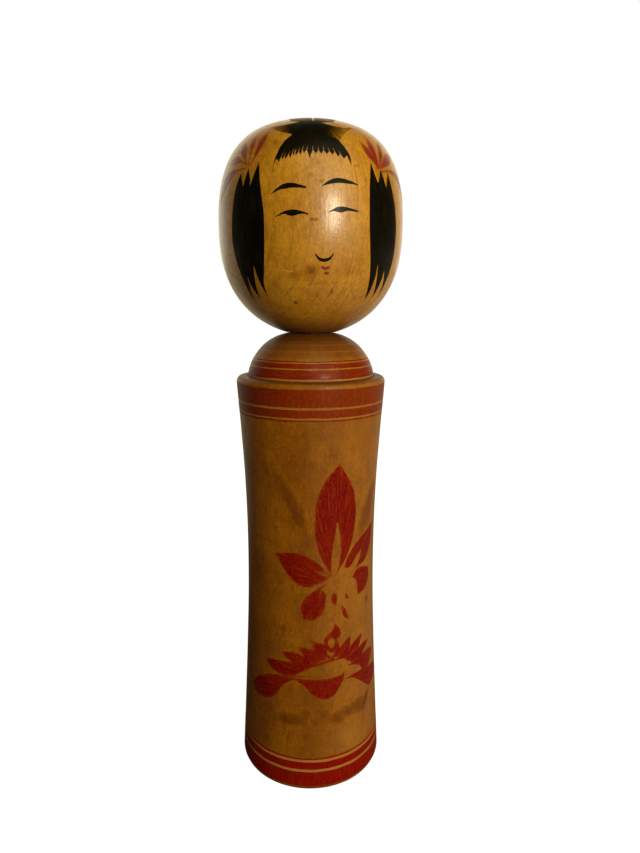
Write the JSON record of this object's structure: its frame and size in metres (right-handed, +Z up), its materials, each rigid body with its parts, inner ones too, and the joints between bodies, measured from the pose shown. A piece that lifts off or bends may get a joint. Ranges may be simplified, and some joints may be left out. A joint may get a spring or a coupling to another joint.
{
  "type": "kokeshi doll",
  "caption": "Turned wooden doll with a round head that turns fully on a waisted, flat-based body, painted with hair, a face and red flowers.",
  "frame": {"origin": "centre of the flat base, on the surface that the doll stands on", "axes": "+Z up along the turning axis, -Y towards the painted face, +X to the doll's left, which is the right of a person facing it"},
  "size_m": [0.0654, 0.0654, 0.242],
  "materials": {
    "body_wood": "aged dogwood, waxed to a satin, amber with red dye bands",
    "head_wood": "aged dogwood, waxed to a satin, honey amber",
    "red_dye": "deep red water dye under wax",
    "black_ink": "black ink under wax, with dry brush streaks"
  },
  "bodies": {
    "body": {"body": "body_wood"},
    "head": {"head": "head_wood"}
  },
  "joints": [
    {"name": "head_turn", "type": "hinge", "parent": "body", "child": "head", "pos_m": [0, 0, 0.1711], "axis": [0, 0, 1], "continuous": true}
  ]
}
